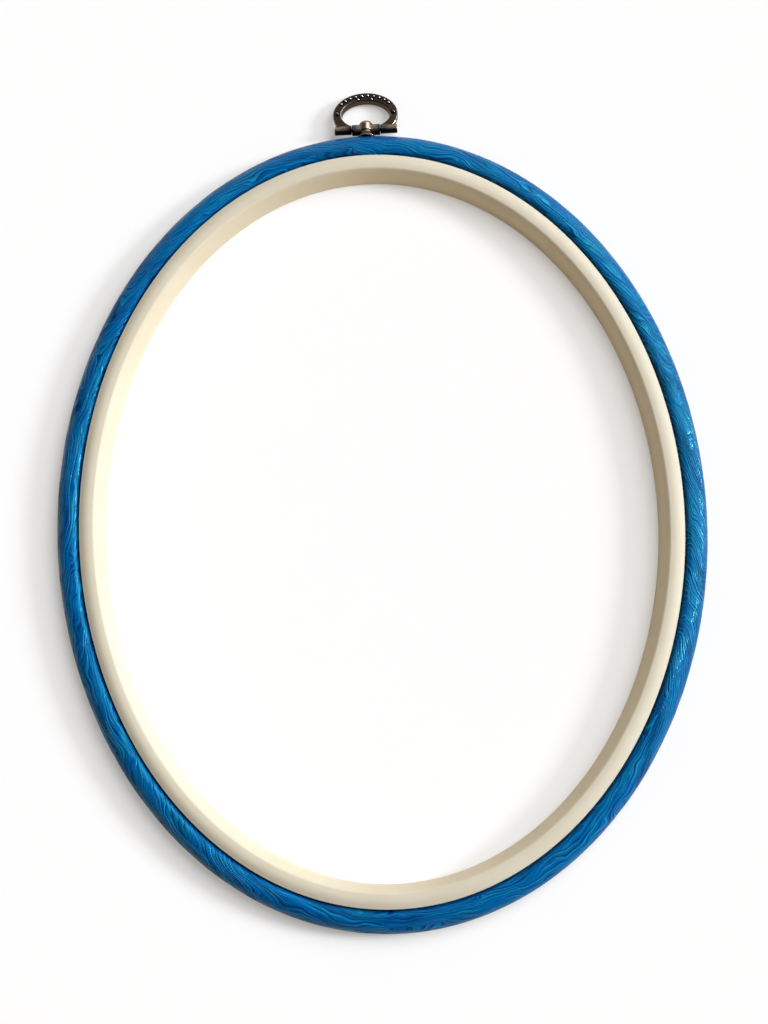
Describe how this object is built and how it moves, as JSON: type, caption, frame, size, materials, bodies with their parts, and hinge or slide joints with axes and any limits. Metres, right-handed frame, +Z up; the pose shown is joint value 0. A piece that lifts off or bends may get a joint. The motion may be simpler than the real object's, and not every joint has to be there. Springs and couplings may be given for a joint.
{
  "type": "embroidery hoop",
  "caption": "Oval embroidery hoop: a rigid lipped inner hoop held in a flexible outer hoop, with a small swivelling bail hanger screwed to one end.",
  "frame": {"origin": "on the surface the hoop lies on, under the middle of the whole object's box", "axes": "+Z up out of the front (lip) face, +Y along the oval's long axis towards the hanger, +X to the right seen from the front"},
  "size_m": [0.2102, 0.2772, 0.0085],
  "materials": {
    "inner_plastic": "satin cream moulded plastic",
    "outer_vinyl": "semi-gloss blue vinyl with an embossed wood grain",
    "aged_metal": "dark antique plating on a zinc casting, worn bright on the high spots",
    "bright_steel": "plain zinc-plated steel"
  },
  "bodies": {
    "outer": {"outer_hoop": "outer_vinyl"},
    "inner": {"inner_hoop": "inner_plastic"},
    "stem": {"hanger_post": "aged_metal", "hinge_pin": "aged_metal", "hanger_screw": "bright_steel", "screw_washer": "bright_steel"},
    "bail": {"hanger_bail": "aged_metal"}
  },
  "joints": [
    {"name": "inner_lift", "type": "slide", "parent": "outer", "child": "inner", "axis": [0, 0, 1], "range_m": [0, 0.02]},
    {"name": "hanger_swivel", "type": "hinge", "parent": "outer", "child": "stem", "pos_m": [0, 0.12495, 0.0039], "axis": [0, 1, 0], "continuous": true},
    {"name": "bail_swing", "type": "hinge", "parent": "stem", "child": "bail", "pos_m": [0, 0.12495, 0.0039], "axis": [1, 0, 0], "range_deg": [-78.8, 101.2]}
  ]
}
